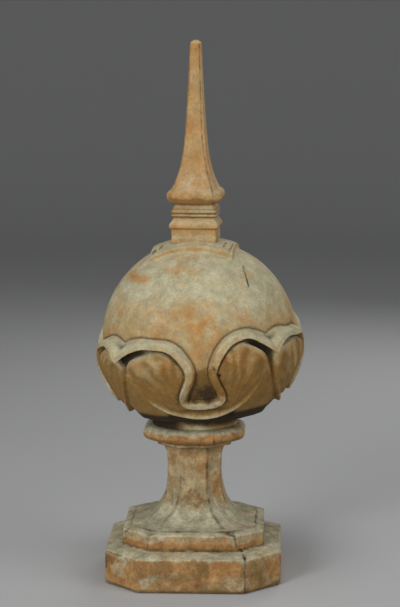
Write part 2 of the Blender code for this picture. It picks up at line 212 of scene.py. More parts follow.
def scoreLines(skin, lines):
    # cuts the lines into the skin and returns how dark each point of them is
    dark = np.zeros(len(skin.points))
    ragged = 0.75 + 0.55 * skin.grain(0.009, 2, 80)
    for line, width, depth, darkness in lines:
        far = farFrom(skin.points[:, 0], skin.points[:, 2], line)
        near = np.exp(-(far / width) ** 2) * ragged * (skin.normals[:, 1] <= -0.1)
        skin.points -= skin.normals * (depth * near)[:, None]
        dark = np.maximum(dark, darkness * near)
    skin.refresh()
    return dark


def ease(value, low, high):
    t = np.clip((value - low) / (high - low), 0, 1)
    return t * t * (3 - 2 * t)


def touchUp(skin, touches, masks):
    # soft-edged patches on the front, broken up by grain
    ragged = skin.grain(0.016, 4, 70) + 0.5 * skin.grain(0.005, 2, 74)
    x, z = skin.points[:, 0], skin.points[:, 2]
    for kind, patches in touches.items():
        for middleX, middleZ, halfWidth, halfHeight, strength in patches:
            far = np.hypot((x - middleX) / halfWidth, (z - middleZ) / halfHeight) + 0.7 * ragged
            masks[kind] += strength * (1 - ease(far, 0.4, 1.3)) * (skin.normals[:, 1] < 0.15)


# ranges of bend in metres, and of how far a face looks up or down, that fill each mask
maskRanges = {
    "deep": (0.0005, 0.0032), "fine": (0.00012, 0.0007), "arris": (0.00025, 0.0012),
    "ledge": (0.05, 0.8), "under": (-0.15, 0.7),
}


def finishSkin(skin, touches, dark, bendScale=1.0, stainAndShade=0.0, bare=0.0, bloomAndLight=0.0, hollowShare=1.0):
    # the masks that the finish reads
    deep = ease(skin.bend(26), *(bendScale * edge for edge in maskRanges["deep"]))
    fine = ease(skin.bend(5), *maskRanges["fine"])
    masks = {
        # the hollow mask darkens concave places: dirt and painted shade
        "hollow": np.maximum(deep, 0.7 * fine) * (1 - np.clip(bloomAndLight, 0, 1)) * hollowShare,
        "arris": ease(-skin.bend(8), *maskRanges["arris"]),
        "ledge": ease(skin.normals[:, 2], *maskRanges["ledge"]),
        "under": ease(-skin.normals[:, 2], *maskRanges["under"]),
    }
    # on the ball the bloom share also carries painted light, and the stain and dark shares painted shade
    for kind, amount in (("bloomAndLightPatch", bloomAndLight), ("stainAndShadePatch", stainAndShade), ("shadeAndGrimePatch", dark), ("barePatch", bare)):
        masks[kind] = amount + np.zeros(len(skin.points))
    touchUp(skin, touches, masks)
    for name, values in masks.items():
        skin.paint(name, values)


def weather(skin, s, seed):
    # worn arrises, then uneven faces, with the underside left flat
    least, usual, spread = s["chips"]
    worn = ease(-skin.bend(6), *s["wornBend"])
    skin.push(-s["wear"] * worn * np.maximum(least, usual + spread * skin.grain(s["chipSize"], 3, seed)))
    standing = ease(skin.points[:, 2], 0.001, 0.006)
    coarse, small = s["lumpSizes"]
    uneven = 0.6 * skin.grain(coarse, 3, seed + 20) + 0.4 * skin.grain(small, 2, seed + 30)
    skin.push(s["unevenness"] * standing * uneven)


def feed(tree, socket, value):
    # a socket takes another node's output or a fixed value
    if hasattr(value, "is_output"):
        tree.links.new(value, socket)
    else:
        socket.default_value = value


def addNode(tree, kind, **inputs):
    node = tree.nodes.new("ShaderNode" + kind)
    for name, value in inputs.items():
        feed(tree, node.inputs[name.replace("_", " ")], value)
    return node


def grainNode(tree, place, scale, detail, roughness, seed):
    shift = addNode(tree, "Mapping", Vector=place, Location=(seed, 2.3 * seed, -1.1 * seed))
    node = addNode(tree, "TexNoise", Vector=shift.outputs["Vector"], Scale=scale, Detail=detail, Roughness=roughness)
    return node.outputs["Fac"]


def mathNode(tree, operation, a, b, clamp=False):
    node = tree.nodes.new("ShaderNodeMath")
    node.operation = operation
    node.use_clamp = clamp
    feed(tree, node.inputs[0], a)
    feed(tree, node.inputs[1], b)
    return node.outputs[0]


def easeNode(tree, value, low, high):
    node = addNode(tree, "MapRange", Value=value, From_Min=low, From_Max=high)
    node.interpolation_type = "SMOOTHSTEP"
    return node.outputs["Result"]


def blendColour(tree, factor, a, b, kind="MIX"):
    node = tree.nodes.new("ShaderNodeMix")
    node.data_type = "RGBA"
    node.blend_type = kind
    feed(tree, node.inputs[0], factor)
    for socket, value in zip((node.inputs[6], node.inputs[7]), (a, b)):
        feed(tree, socket, value if hasattr(value, "is_output") else (*value, 1.0))
    return node.outputs[2]


clay = {
    # scale, detail, roughness and seed of each noise
    "noises": {
        "clouds": (12.0, 6.0, 0.62, 3.0), "wipes": (55.0, 4.0, 0.6, 5.0), "bare": (19.0, 7.0, 0.66, 9.0),
        "stainAndShade": (24.0, 6.0, 0.64, 12.0), "bloomAndLight": (22.0, 9.0, 0.7, 15.0), "moss": (46.0, 8.0, 0.7, 21.0),
        "mottle": (42.0, 12.0, 0.8, 45.0), "dirtAndShade": (60.0, 8.0, 0.68, 27.0), "speck": (240.0, 5.0, 0.65, 33.0),
        "pits": (30.0, 3.0, 0.5, 39.0),
    },
    "wipeStretch": (1.0, 1.0, 0.18), "pitScale": 170.0,
    # how much of what is under it each layer hides
    "covers": {
        "wipes": 0.28, "bare": 0.9, "stainAndShade": 0.85, "thinPale": 0.6,
        "thickPale": 0.7, "moss": 0.45, "dirtAndShade": 0.95, "pits": 0.5,
    },
    "mottleShades": ((0.64, 0.61, 0.56), (1.26, 1.28, 1.32)), "speckShades": ((0.72, 0.7, 0.67), (1.26, 1.26, 1.27)),
    "roughness": (0.8, 0.95), "specular": 0.3, "bump": 0.5, "bumpDistance": 0.0012,
}


def weatheredClay(name, look):
    # the same clay throughout, with its bloom, stains, dirt and bare patches in different amounts
    material = bpy.data.materials.new(name)
    material.use_nodes = True
    tree = material.node_tree
    shader = tree.nodes["Principled BSDF"]
    place = tree.nodes.new("ShaderNodeTexCoord").outputs["Object"]
    stretched = addNode(tree, "Mapping", Vector=place, Scale=clay["wipeStretch"]).outputs["Vector"]
    noise = {}
    for kind, sizes in clay["noises"].items():
        noise[kind] = grainNode(tree, stretched if kind == "wipes" else place, *sizes)
    mask = {}
    for kind in ("hollow", "arris", "ledge", "under", "bloomAndLightPatch", "stainAndShadePatch", "shadeAndGrimePatch", "barePatch"):
        node = addNode(tree, "Attribute")
        node.attribute_name = kind
        mask[kind] = node.outputs["Fac"]

    def weighted(*terms):
        total = 0.0
        for value, weight in terms:
            total = mathNode(tree, "ADD", mathNode(tree, "MULTIPLY", value, weight), total)
        return total

    def share(value, at, soft):
        return easeNode(tree, value, at - soft, at + soft)

    def laid(kind, field, over):
        return blendColour(tree, mathNode(tree, "MULTIPLY", field, clay["covers"][kind]), colour, over)

    # the body: clouds of two shades, faint upright wipes, bare orange patches
    colour = blendColour(tree, share(noise["clouds"], look["buffAt"], 0.12), look["clay"], look["buff"])
    colour = laid("wipes", share(noise["wipes"], 0.54, 0.14), look["buff"])
    bareField = weighted((noise["bare"], 1.0), (mask["barePatch"], 0.26), (mask["ledge"], -0.06))
    colour = laid("bare", share(bareField, look["bareAt"], look["bareSoft"]), look["bare"])
    # brown stain where the weather hasn't washed it, and painted shade on faces that look down and in the ball's
    # shaded places
    stainAndShadeField = weighted((noise["stainAndShade"], 0.9), (mask["under"], 0.42), (mask["stainAndShadePatch"], 0.5))
    colour = laid("stainAndShade", share(stainAndShadeField, 0.76, 0.22), look["stainAndShade"])
    # lime bloom: a thin film, then a patchy crust that keeps to ledges and arrises, with less on faces that look down
    # as painted shade; on the ball the same pale also paints light on the seat's lower part, the leaves' feet and the
    # closing lip
    bloomAndLightField = weighted(
        (noise["bloomAndLight"], 1.0), (mask["ledge"], 0.25), (mask["arris"], 0.18), (mask["bloomAndLightPatch"], 0.3),
        (mask["under"], -0.12), (mask["barePatch"], -0.22), (mask["stainAndShadePatch"], -0.16),
    )
    thinPale = share(bloomAndLightField, look["bloomAt"], 0.16)
    colour = laid("thinPale", thinPale, look["bloomAndLight"])
    colour = laid("thickPale", share(bloomAndLightField, look["bloomAt"] + 0.14, 0.07), look["bloomAndLight"])
    mossField = weighted(
        (noise["moss"], 1.0), (mask["ledge"], 0.06), (mask["bloomAndLightPatch"], 0.05),
        (mask["barePatch"], -0.1), (mask["stainAndShadePatch"], -0.08),
    )
    colour = laid("moss", share(mossField, look["mossAt"], 0.12), look["moss"])
    # mottling, as of hand-pressed clay
    mottled = blendColour(tree, easeNode(tree, noise["mottle"], 0.36, 0.64), *clay["mottleShades"])
    colour = blendColour(tree, look["mottle"], colour, mottled, "MULTIPLY")
    # dirt and painted shade in the hollows, painted shadow and shade on and under the ball's leaves, and dark seams
    # and cracks
    dirtAndShade = mathNode(tree, "MULTIPLY", mask["hollow"], share(noise["dirtAndShade"], 0.45, 0.22))
    dirtAndShade = mathNode(tree, "ADD", mathNode(tree, "MULTIPLY", dirtAndShade, 0.75), mask["shadeAndGrimePatch"], clamp=True)
    colour = laid("dirtAndShade", dirtAndShade, look["shadeAndGrime"])
    # fine grain and pits
    specked = blendColour(tree, easeNode(tree, noise["speck"], 0.25, 0.75), *clay["speckShades"])
    colour = blendColour(tree, look["grain"], colour, specked, "MULTIPLY")
    cells = addNode(tree, "TexVoronoi", Vector=place, Scale=clay["pitScale"])
    pits = mathNode(tree, "SUBTRACT", 1.0, easeNode(tree, cells.outputs["Distance"], 0.08, 0.26))
    pits = mathNode(tree, "MULTIPLY", pits, share(noise["pits"], 0.62, 0.1))
    colour = laid("pits", pits, look["stainAndShade"])
    tree.links.new(colour, shader.inputs["Base Color"])
    smooth, rough = clay["roughness"]
    roughness = addNode(tree, "MapRange", Value=thinPale, To_Min=smooth, To_Max=rough)
    tree.links.new(roughness.outputs["Result"], shader.inputs["Roughness"])
    shader.inputs["Specular IOR Level"].default_value = clay["specular"]
    # relief of the grain, the bloom's crust and the pits
    relief = weighted((noise["speck"], 0.5), (noise["bloomAndLight"], 1.2), (pits, -0.8))
    bump = addNode(tree, "Bump", Height=relief, Strength=clay["bump"], Distance=clay["bumpDistance"])
    tree.links.new(bump.outputs["Normal"], shader.inputs["Normal"])
    return material


def dress(piece, material, node):
    piece.data.materials.clear()
    piece.data.materials.append(material)
    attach(piece, "root")
    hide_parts(node)


pedestal = {
    "voxel": 0.0017, "most": 192000,
    "plinthHalf": 0.159, "plinthFlat": 0.095, "plinthHeight": 0.062, "weathering": 0.008,
    "stepHalf": 0.1275, "stepFlat": 0.079, "stepHeight": 0.0275, "stepWeathering": 0.0055,
    "footHalf": 0.113, "footFlat": 0.0685, "waistHalf": 0.0487, "waistFlat": 0.024, "waistRise": 0.1025,
    "sweep": 2.6, "topHalf": 0.057, "topFlat": 0.026, "topRise": 0.038, "hollow": 0.07,
    "filletHalf": 0.0677, "filletFlat": 0.029, "filletHeight": 0.008,
    "collarHalf": 0.0922, "collarFlat": 0.038, "collarHeight": 0.027,
    "collarNeck": 0.022, "collarTopEdge": 0.015, "collarSwell": -0.05,
    # joints under the step and under the stem's foot: depth, half width, half width of their dirt
    "jointDepth": 0.0022, "jointWidth": 0.0022, "jointDirt": 0.0018,
    # chips are the least, usual and varying share of the wear
    "wear": 0.0014, "wornBend": (0.0001, 0.0012), "chips": (0.2, 0.8, 1.3), "chipSize": 0.014,
    "unevenness": 0.0008, "lumpSizes": (0.05, 0.012),
    "finish": {
        "clay": (0.4, 0.235, 0.088), "buff": (0.42, 0.315, 0.155), "bare": (0.4, 0.192, 0.062),
        "stainAndShade": (0.215, 0.13, 0.045), "bloomAndLight": (0.52, 0.485, 0.34), "moss": (0.36, 0.36, 0.23),
        "shadeAndGrime": (0.03, 0.018, 0.008), "buffAt": 0.53, "bareAt": 0.57, "bareSoft": 0.1, "bloomAt": 0.585,
        "mossAt": 0.55, "grain": 0.55, "mottle": 0.95,
    },
    # patches on the front: x, z, half width, half height, strength
    "touches": {
        "barePatch": (
            (-0.056, 0.047, 0.034, 0.013, 0.7), (0.042, 0.044, 0.05, 0.014, 0.6),
            (0.0, 0.02, 0.06, 0.01, 0.4), (-0.134, 0.014, 0.018, 0.008, 0.5),
            (0.041, 0.165, 0.006, 0.03, 0.6), (0.01, 0.262, 0.08, 0.012, 0.9),
        ),
        "stainAndShadePatch": (
            (0.016, 0.048, 0.018, 0.012, 0.9), (-0.02, 0.029, 0.024, 0.007, 0.7),
            (0.12, 0.04, 0.014, 0.02, 0.6), (-0.003, 0.146, 0.028, 0.024, 1.3),
        ),
        "bloomAndLightPatch": (
            (-0.077, 0.021, 0.015, 0.013, 1.7), (0.071, 0.018, 0.024, 0.013, 1.6),
            (-0.065, 0.0615, 0.01, 0.003, 1.2), (-0.13, 0.033, 0.015, 0.022, 0.8),
            (0.14, 0.01, 0.014, 0.016, 0.6), (0.0, 0.115, 0.05, 0.016, 0.7), (-0.06, 0.11, 0.03, 0.016, 0.7),
            # the last, on the left of the collar's top, is painted light
            (-0.045, 0.2785, 0.04, 0.004, 0.8),
        ),
    },
    # cracks and seams on the front: x and z along the line, half width, depth, darkness
    "lines": (
        (((0.0952, 0.064), (0.0954, 0.036), (0.0955, 0.0)), 0.002, 0.0016, 1.0),
        (((0.0748, 0.1), (0.077, 0.091), (0.08, 0.076), (0.0952, 0.063)), 0.0018, 0.0014, 0.9),
        (((0.025, 0.244), (0.0243, 0.205), (0.0241, 0.164), (0.029, 0.138), (0.0356, 0.121), (0.0509, 0.105),
          (0.064, 0.101), (0.0748, 0.099)), 0.0024, 0.001, 0.8),
        (((-0.0243, 0.19), (-0.0241, 0.164), (-0.0337, 0.1287), (-0.0587, 0.1037), (-0.078, 0.097),
          (-0.08, 0.072)), 0.0018, 0.0007, 0.5),
        (((0.0487, 0.215), (0.05, 0.164), (0.06, 0.128), (0.085, 0.108), (0.113, 0.1)), 0.002, 0.0006, 0.4),
        (((-0.0487, 0.215), (-0.05, 0.164), (-0.06, 0.128), (-0.085, 0.108), (-0.113, 0.1)), 0.002, 0.0006, 0.4),
        (((-0.157, 0.0605), (-0.14, 0.059), (-0.125, 0.06)), 0.0014, 0.0012, 0.7),
        (((-0.1565, 0.058), (-0.157, 0.03)), 0.0015, 0.0012, 0.7),
        (((-0.118, 0.098), (-0.124, 0.09), (-0.1215, 0.082), (-0.13, 0.073)), 0.0016, 0.0014, 0.7),
        (((0.0375, 0.279), (0.038, 0.252)), 0.0014, 0.0008, 0.7),
        (((-0.093, 0.061), (-0.0932, 0.003)), 0.0016, 0.0005, 0.25),
    ),
}
stepBase = pedestal["plinthHeight"] + pedestal["weathering"]
stepTop = stepBase + pedestal["stepHeight"]
stemBase = stepTop + pedestal["stepWeathering"]
waistLevel = stemBase + pedestal["waistRise"]
filletBase = waistLevel + pedestal["topRise"]
collarBase = filletBase + pedestal["filletHeight"]
collarTop = collarBase + pedestal["collarHeight"]


def pedestalRings():
    s = pedestal
    sections = [
        (0.0, s["plinthHalf"] - 0.0055, s["plinthFlat"] - 0.002, 0.0),
        (0.0015, s["plinthHalf"] - 0.0025, s["plinthFlat"] - 0.001, 0.0),
        (0.0055, s["plinthHalf"], s["plinthFlat"], 0.0),
        (s["plinthHeight"], s["plinthHalf"], s["plinthFlat"], 0.0),
        (stepBase, s["stepHalf"], s["stepFlat"], 0.0),
        (stepTop, s["stepHalf"], s["stepFlat"], 0.0),
    ]
    # the stem sweeps in to its waist, then out to its top
    for step in range(41):
        fall = math.cos(step / 40 * math.pi / 2)
        reach = (1 - fall ** s["sweep"]) ** (1 / s["sweep"])
        half = s["footHalf"] - (s["footHalf"] - s["waistHalf"]) * reach
        flat = s["footFlat"] - (s["footFlat"] - s["waistFlat"]) * reach
        sections.append((waistLevel - s["waistRise"] * fall, half, flat, s["hollow"] * reach))
    for step in range(1, 13):
        t = step / 12
        half = s["waistHalf"] + (s["topHalf"] - s["waistHalf"]) * t ** 3
        flat = s["waistFlat"] + (s["topFlat"] - s["waistFlat"]) * t ** 3
        sections.append((waistLevel + s["topRise"] * t, half, flat, s["hollow"] * (1 - t ** 3)))
    sections.append((filletBase, s["filletHalf"], s["filletFlat"], 0.0))
    sections.append((collarBase, s["filletHalf"], s["filletFlat"], 0.0))
    flatShare = s["collarFlat"] / s["collarHalf"]
    for step in range(15):
        angle = math.radians(-82 + 150 * step / 14)
        edge = s["collarNeck"] if angle < 0 else s["collarTopEdge"]
        half = s["collarHalf"] - edge * (1 - math.cos(angle))
        level = collarBase + s["collarHeight"] * (math.sin(angle) + 1) / 2
        sections.append((level, half, flatShare * half, s["collarSwell"]))
    topHalf = s["collarHalf"] - s["collarTopEdge"]
    sections.append((collarTop, topHalf, flatShare * topHalf, s["collarSwell"]))
    return [[(p.x, p.y, level) for p in cutSquare(half, flat, hollow)] for level, half, flat, hollow in sections]


def pedestalShade(level, normals, uneven):
    # the step's foot and the plinth are scoured bare, the step's upper half and the ledges are limed
    steep = 1 - ease(normals[:, 2], 0.3, 0.7)
    rough = level + uneven
    footTop = 1 - ease(rough, stepBase + 0.009, stepBase + 0.016)
    foot = ease(rough, stepBase, stepBase + 0.003) * footTop * steep
    plinth = (1 - ease(rough, 0.05, 0.06)) * steep
    limed = ease(rough, stepBase + 0.012, stepBase + 0.02) * (1 - ease(level, stemBase, stemBase + 0.01)) * steep
    stem = ease(level, stemBase, stemBase + 0.01) * (1 - ease(level, filletBase - 0.01, filletBase + 0.01))
    stainAndShade = 0.45 * plinth + 0.5 * foot + 0.4 * limed
    return stainAndShade, 0.6 * foot + 0.32 * plinth, 0.4 * limed + 0.15 * stem


def makePedestal():
    s = pedestal
    bm = bmesh.new()
    sweepLoop(bm, pedestalRings())
    piece = fuse(addPiece("pedestal_body", bm), s["voxel"])
    skin = Skin(piece)
    joints = ((stepBase, 1.0), (stemBase - 0.001, 0.8))
    for level, share in joints:
        near = np.exp(-((skin.points[:, 2] - level) / s["jointWidth"]) ** 2)
        skin.push(-share * s["jointDepth"] * near * (np.abs(skin.normals[:, 2]) < 0.98))
    weather(skin, s, 20)
    skin.points[:, 2] = np.maximum(skin.points[:, 2], 0.0)
    dark = scoreLines(skin, s["lines"])
    for level, share in joints:
        near = np.exp(-((skin.points[:, 2] - level) / s["jointDirt"]) ** 2) * (np.abs(skin.normals[:, 2]) < 0.97)
        dark = np.maximum(dark, 0.9 * near * (0.65 + 0.5 * skin.grain(0.02, 3, 60)))
    stainAndShade, bare, bloomAndLight = pedestalShade(skin.points[:, 2], skin.normals, 0.004 * skin.grain(0.03, 3, 64))
    finishSkin(skin, s["touches"], dark, 1.0, stainAndShade, bare, bloomAndLight)
    thin(piece, s["most"])
    dress(piece, weatheredClay("pedestalClay", s["finish"]), "pedestal")


ball = {
    "voxel": 0.0017, "most": 195000,
    "radius": 0.1764, "offset": 0.0084, "lean": 3.0, "turn": -0.6, "cupLean": 1.3,
    "undersideDrop": 0.1355, "seatRadius": 0.078, "seatHeight": 0.024, "bedGap": 0.0003,
    "padHalf": 0.0752, "padHalfDepth": 0.064, "padRise": 0.008, "padTurn": -3.9,
    "wear": 0.001, "wornBend": (0.0002, 0.0014), "chips": (-1.0, 0.6, 0.8), "chipSize": 0.02,
    "unevenness": 0.0008, "lumpSizes": (0.06, 0.014),
    "leaf": {
        "count": 4, "sway": 3.5, "meeting": 45.0, "steps": 10,
        # the lip's middle line, in degrees across from the cleft and up from the ball's equator
        "lipRun": (
            (0.0, -32.2), (9.6, -31.2), (11.6, -26.0), (6.2, -13.0), (9.5, -3.0),
            (17.0, 5.0), (28.0, 8.0), (37.5, 6.0), (45.0, 2.6),
        ),
        "lipOut": (0.0105, 0.012, 0.014, 0.0155, 0.0155, 0.016, 0.0172, 0.021, 0.027),
        "lipWide": (0.0155, 0.0095, 0.0115, 0.0135, 0.0135, 0.013, 0.0125, 0.012, 0.011),
        "lipHang": (0.0, 0.0, 0.0, 0.0, 0.001, 0.002, 0.003, 0.01, 0.018),
        # across the lip in half widths, and out from the ball in shares of its height, from the ball side to the edge
        "lipSection": (
            (-1.25, -0.3), (-1.15, 0.15), (-0.95, 0.55), (-0.6, 0.84), (-0.1, 0.95), (0.45, 0.98), (0.72, 1.06),
            (1.0, 1.08), (1.1, 0.92), (1.0, 0.72), (0.7, 0.55), (0.4, 0.38), (0.2, -0.3),
        ),
        "bladeTop": ((26.0, 4.0), (38.0, -2.0), (43.0, -7.0)),
        "centre": -5.0, "halfWidth": 43.5, "depth": 38.8,
        "crownRise": 0.0145, "footRise": 0.0045, "footLip": 0.002, "shoulder": 0.0055,
        "channel": 0.0065, "pillow": 0.0022, "hollowDepth": 0.0062, "ridge": 0.0042, "rib": 0.0003,
        # hand-cut lobes that stand lower than the rest: middle and half width round the ball, degrees lower
        "lowLobes": ((-25.0, 17.0, 2.2), (66.0, 17.0, 3.8), (-66.0, 17.0, 3.2)),
        "sepalRise": 0.0032, "sepal": ((0.0, -11.0), (5.0, -20.0), (16.0, -34.0), (24.0, -54.0)),
    },
    # how dark each place gets: the finger wipes, and painted shade in the rest
    "shadeAndGrime": {
        "wipes": 0.16, "below": 1.0, "drum": 0.92, "cleft": 0.4,
        "nook": 0.95, "lipShadow": 0.8, "hollow": 0.6, "brow": 0.9,
    },
    # how brown each place gets: stain on the blades, stain and painted shade on the lower ball, painted shade in the
    # cleft, the hollow and below the leaves
    "stainAndShade": {"low": 0.75, "cleft": 0.9, "hollow": 1.0, "blade": 0.55, "below": 1.0},
    # how pale each place gets: the lips' faces, painted highlights on the leaves' feet and the closing lip, painted
    # light on the seat's lower part
    "pale": {"foot": 0.9, "closing": 1.5, "lip": 0.5, "seat": 1.0},
    "finish": {
        "clay": (0.42, 0.245, 0.082), "buff": (0.43, 0.318, 0.15), "bare": (0.44, 0.205, 0.052),
        "stainAndShade": (0.225, 0.12, 0.025), "bloomAndLight": (0.49, 0.455, 0.305), "moss": (0.34, 0.33, 0.195),
        "shadeAndGrime": (0.016, 0.01, 0.005), "buffAt": 0.5, "bareAt": 0.66, "bareSoft": 0.18, "bloomAt": 0.6,
        "mossAt": 0.6, "grain": 0.45, "mottle": 0.5,
    },
    "touches": {
        "barePatch": (
            (-0.096, 0.555, 0.022, 0.01, 0.8), (-0.022, 0.574, 0.034, 0.008, 0.7),
            (-0.03, 0.505, 0.075, 0.02, 0.35), (0.025, 0.455, 0.03, 0.03, 0.4),
            (0.151, 0.487, 0.016, 0.022, 0.3), (-0.045, 0.394, 0.024, 0.02, 0.9),
            (0.018, 0.445, 0.055, 0.07, 0.38), (0.085, 0.385, 0.045, 0.055, 0.75),
            (0.135, 0.39, 0.03, 0.05, 0.5), (-0.11, 0.56, 0.02, 0.012, 0.5),
        ),
        "bloomAndLightPatch": (
            (0.048, 0.497, 0.004, 0.012, 0.8), (-0.15, 0.5, 0.012, 0.05, 0.5),
            (0.102, 0.525, 0.045, 0.036, 0.35), (-0.102, 0.534, 0.02, 0.014, 0.4),
            (0.0, 0.545, 0.09, 0.018, 0.4), (0.076, 0.579, 0.016, 0.016, 0.5),
            (-0.093, 0.426, 0.026, 0.018, 0.35), (-0.06, 0.52, 0.04, 0.02, 0.3),
        ),
        "stainAndShadePatch": (
            (0.021, 0.372, 0.024, 0.03, 1.0), (0.052, 0.395, 0.018, 0.03, 0.6),
        ),
        # painted shade in the bulb of the cleft
        "shadeAndGrimePatch": ((0.021, 0.36, 0.022, 0.016, 0.5),),
    },
    # a crack on the dome, the dent in the right lip and the strokes on the pad
    "lines": (
        (((0.0895, 0.576), (0.0945, 0.562), (0.0998, 0.546)), 0.0014, 0.0014, 1.0),
        (((0.0375, 0.4135), (0.043, 0.405), (0.05, 0.399)), 0.003, 0.003, 0.7),
        (((-0.0745, 0.5965), (-0.069, 0.601)), 0.0013, 0.0012, 1.0),
        (((-0.062, 0.604), (-0.057, 0.608)), 0.0013, 0.0012, 1.0),
        (((0.053, 0.6095), (0.0585, 0.615)), 0.0013, 0.0012, 1.0),
        (((0.064, 0.604), (0.0695, 0.61)), 0.0013, 0.0012, 1.0),
    ),
}
leaf = ball["leaf"]
ballLevel = collarTop + ball["seatHeight"] + ball["undersideDrop"]
domeRadius = ball["radius"] + ball["padRise"]
metresPerDegree = math.radians(1.0) * ball["radius"]


def ballPose():
    lean = Matrix.Rotation(math.radians(ball["turn"]), 4, "Z") @ Matrix.Rotation(math.radians(-ball["lean"]), 4, "Y")
    return Matrix.Translation((ball["offset"], 0.0, ballLevel)) @ lean


def swayed(across):
    return across + leaf["sway"] * max(0.0, 1 - abs(across) / leaf["meeting"])


def onBall(across, up):
    a, b = math.radians(across), math.radians(up)
    return ball["radius"] * Vector((math.cos(b) * math.sin(a), -math.cos(b) * math.cos(a), math.sin(b)))


def lobeDip(around, up):
    # how many degrees lower than the rest the lip stands here
    total = 0.0 * around
    for middle, half, lower in leaf["lowLobes"]:
        total = total + lower * (1 - ease(np.abs(around - middle), 0.0, half)) * ease(up, -18.0, 0.0)
    return total


def lipRings():
    # the lip's section at each place round the tops of all the leaves
    sizes = [(*p, *size) for p, *size in zip(leaf["lipRun"], leaf["lipOut"], leaf["lipWide"], leaf["lipHang"])]
    half = smoothRun(sizes, leaf["steps"])
    oneLeaf = [(-s[0], *s[1:]) for s in reversed(half[1:])] + half[:-1]
    stations = []
    for number in range(leaf["count"]):
        for s in oneLeaf:
            around = (swayed(s[0]) + 2 * leaf["meeting"] * number + 180.0) % 360.0 - 180.0
            stations.append((around, s[1] - float(lobeDip(around, s[1])), *s[2:]))
    section = smoothRun(leaf["lipSection"], 3)
    rings = []
    for i, (across, up, out, wide, hang) in enumerate(stations):
        before = onBall(*stations[i - 1][:2])
        after = onBall(*stations[(i + 1) % len(stations)][:2])
        root = onBall(across, up)
        outward = root.normalized()
        sideways = (after - before).cross(outward).normalized()
        ring = []
        for side, rise in section:
            drop = hang * max(0.0, rise)
            ring.append(root + sideways * side * wide / 2 + outward * out * rise - Vector((0.0, 0.0, drop)))
        rings.append(ring)
    return rings


def bladeOutline():
    # half of a leaf's outline: up its cleft, under its lobe and round its foot
    half = smoothRun(leaf["lipRun"][:6] + leaf["bladeTop"], leaf["steps"])
    start = math.asin((leaf["centre"] - leaf["bladeTop"][-1][1]) / leaf["depth"])
    for step in range(1, 30):
        angle = start + (math.pi / 2 - start) * step / 30
        half.append((leaf["halfWidth"] * math.cos(angle), leaf["centre"] - leaf["depth"] * math.sin(angle)))
    return np.array(half + [(0.0, leaf["centre"] - leaf["depth"])])


def insideDepth(across, up, outline):
    # distance inside a closed outline, in metres on the ball, below zero outside
    closed = np.vstack((outline, outline[:1]))
    inside = np.zeros(len(across), bool)
    for (ax, ay), (bx, by) in zip(closed, closed[1:]):
        crosses = (ay > up) != (by > up)
        inside ^= crosses & (across < ax + (up - ay) * (bx - ax) / ((by - ay) or 1e-9))
    far = farFrom(across, up, closed)
    return np.where(inside, far, -far) * metresPerDegree


def lipDistance(flank, up):
    return farFrom(flank, up, smoothRun(leaf["lipRun"], 4)) * metresPerDegree


def leafRelief(across, up, depth):
    # what is carved into the blades: a channel under the lip, pillows, a hollow under the cleft, ribs and a rim
    flank = np.abs(across)
    lipFar = lipDistance(flank, up)
    crown = ease(up, -12.0, 2.0)
    channel = leaf["channel"] * np.exp(-((lipFar - 0.0092 - 0.0012 * crown) / (0.0014 + 0.0014 * crown)) ** 2)
    channel = channel * ease(up, -37.0, -34.0)
    pillow = leaf["pillow"] * np.exp(-((flank - 25) / 12) ** 2 - ((up + 10) / 13) ** 2)
    hollow = leaf["hollowDepth"] * np.exp(-(across / 14) ** 4 - ((up + 37.2) / 2.2) ** 2)
    # a ridge round the foot with a shallow dip behind it
    rim = np.exp(-((depth - 0.0042) / 0.003) ** 2) - 0.35 * np.exp(-((depth - 0.0115) / 0.0035) ** 2)
    rim = leaf["ridge"] * rim * ease(-up, 8.0, 36.0)
    fan = np.degrees(np.arctan2(across - 12.0, up + 52.0))
    ribs = leaf["rib"] * np.cos(math.radians(360) * fan / 4.2)
    ribs = ribs * ease(across, 14.0, 20.0) * (1 - ease(across, 33.0, 38.0))
    ribs = ribs * ease(up, -34.0, -26.0) * (1 - ease(up, -14.0, -6.0))
    return pillow + rim + ribs - channel - hollow


def leafPlaces(points):
    # across from the nearest cleft and up, in degrees, for points round the cup's own centre
    up = np.degrees(np.arcsin(np.clip(points[:, 2] / np.linalg.norm(points, axis=1), -1, 1)))
    around = np.degrees(np.arctan2(points[:, 0], -points[:, 1]))
    up = up + lobeDip(around, up)
    meeting, sway = leaf["meeting"], leaf["sway"]
    turned = (around + meeting) % (2 * meeting) - meeting - sway
    across = turned / np.where(turned > 0, 1 - sway / meeting, 1 + sway / meeting)
    outline = bladeOutline()
    mirrored = np.vstack((outline, outline[-2:0:-1] * (-1, 1)))
    return around, across, up, insideDepth(across, up, mirrored)


def leafHeights(points):
    # how far the blades and sepals stand off the ball at each point
    around, across, up, depth = leafPlaces(points)
    flank = np.abs(across)
    drop = np.clip((leaf["centre"] - up) / leaf["depth"], 0, 1)
    rise = leaf["crownRise"] + (leaf["footRise"] - leaf["crownRise"]) * drop ** 1.3
    rim = np.hypot(flank / leaf["halfWidth"], np.minimum(0, up - leaf["centre"]) / leaf["depth"])
    side = np.clip(rim - 0.8, 0, None) / 0.2
    rise = rise - leaf["shoulder"] * (1 - drop) * side ** 2 + leaf["footLip"] * drop * side
    rise = rise - leaf["shoulder"] * np.clip((up + 2.0) / 8.0, 0, 1)
    rise = rise + leafRelief(across, up, depth)
    blade = rise * ease(depth, -0.001, 0.0022)
    sepal = np.array(list(leaf["sepal"]) + [(-a, u) for a, u in reversed(leaf["sepal"][1:])])
    between = around % (2 * leaf["meeting"]) - leaf["meeting"]
    under = leaf["sepalRise"] * ease(insideDepth(between, up, sepal), -0.001, 0.0025)
    return np.maximum(blade, under)


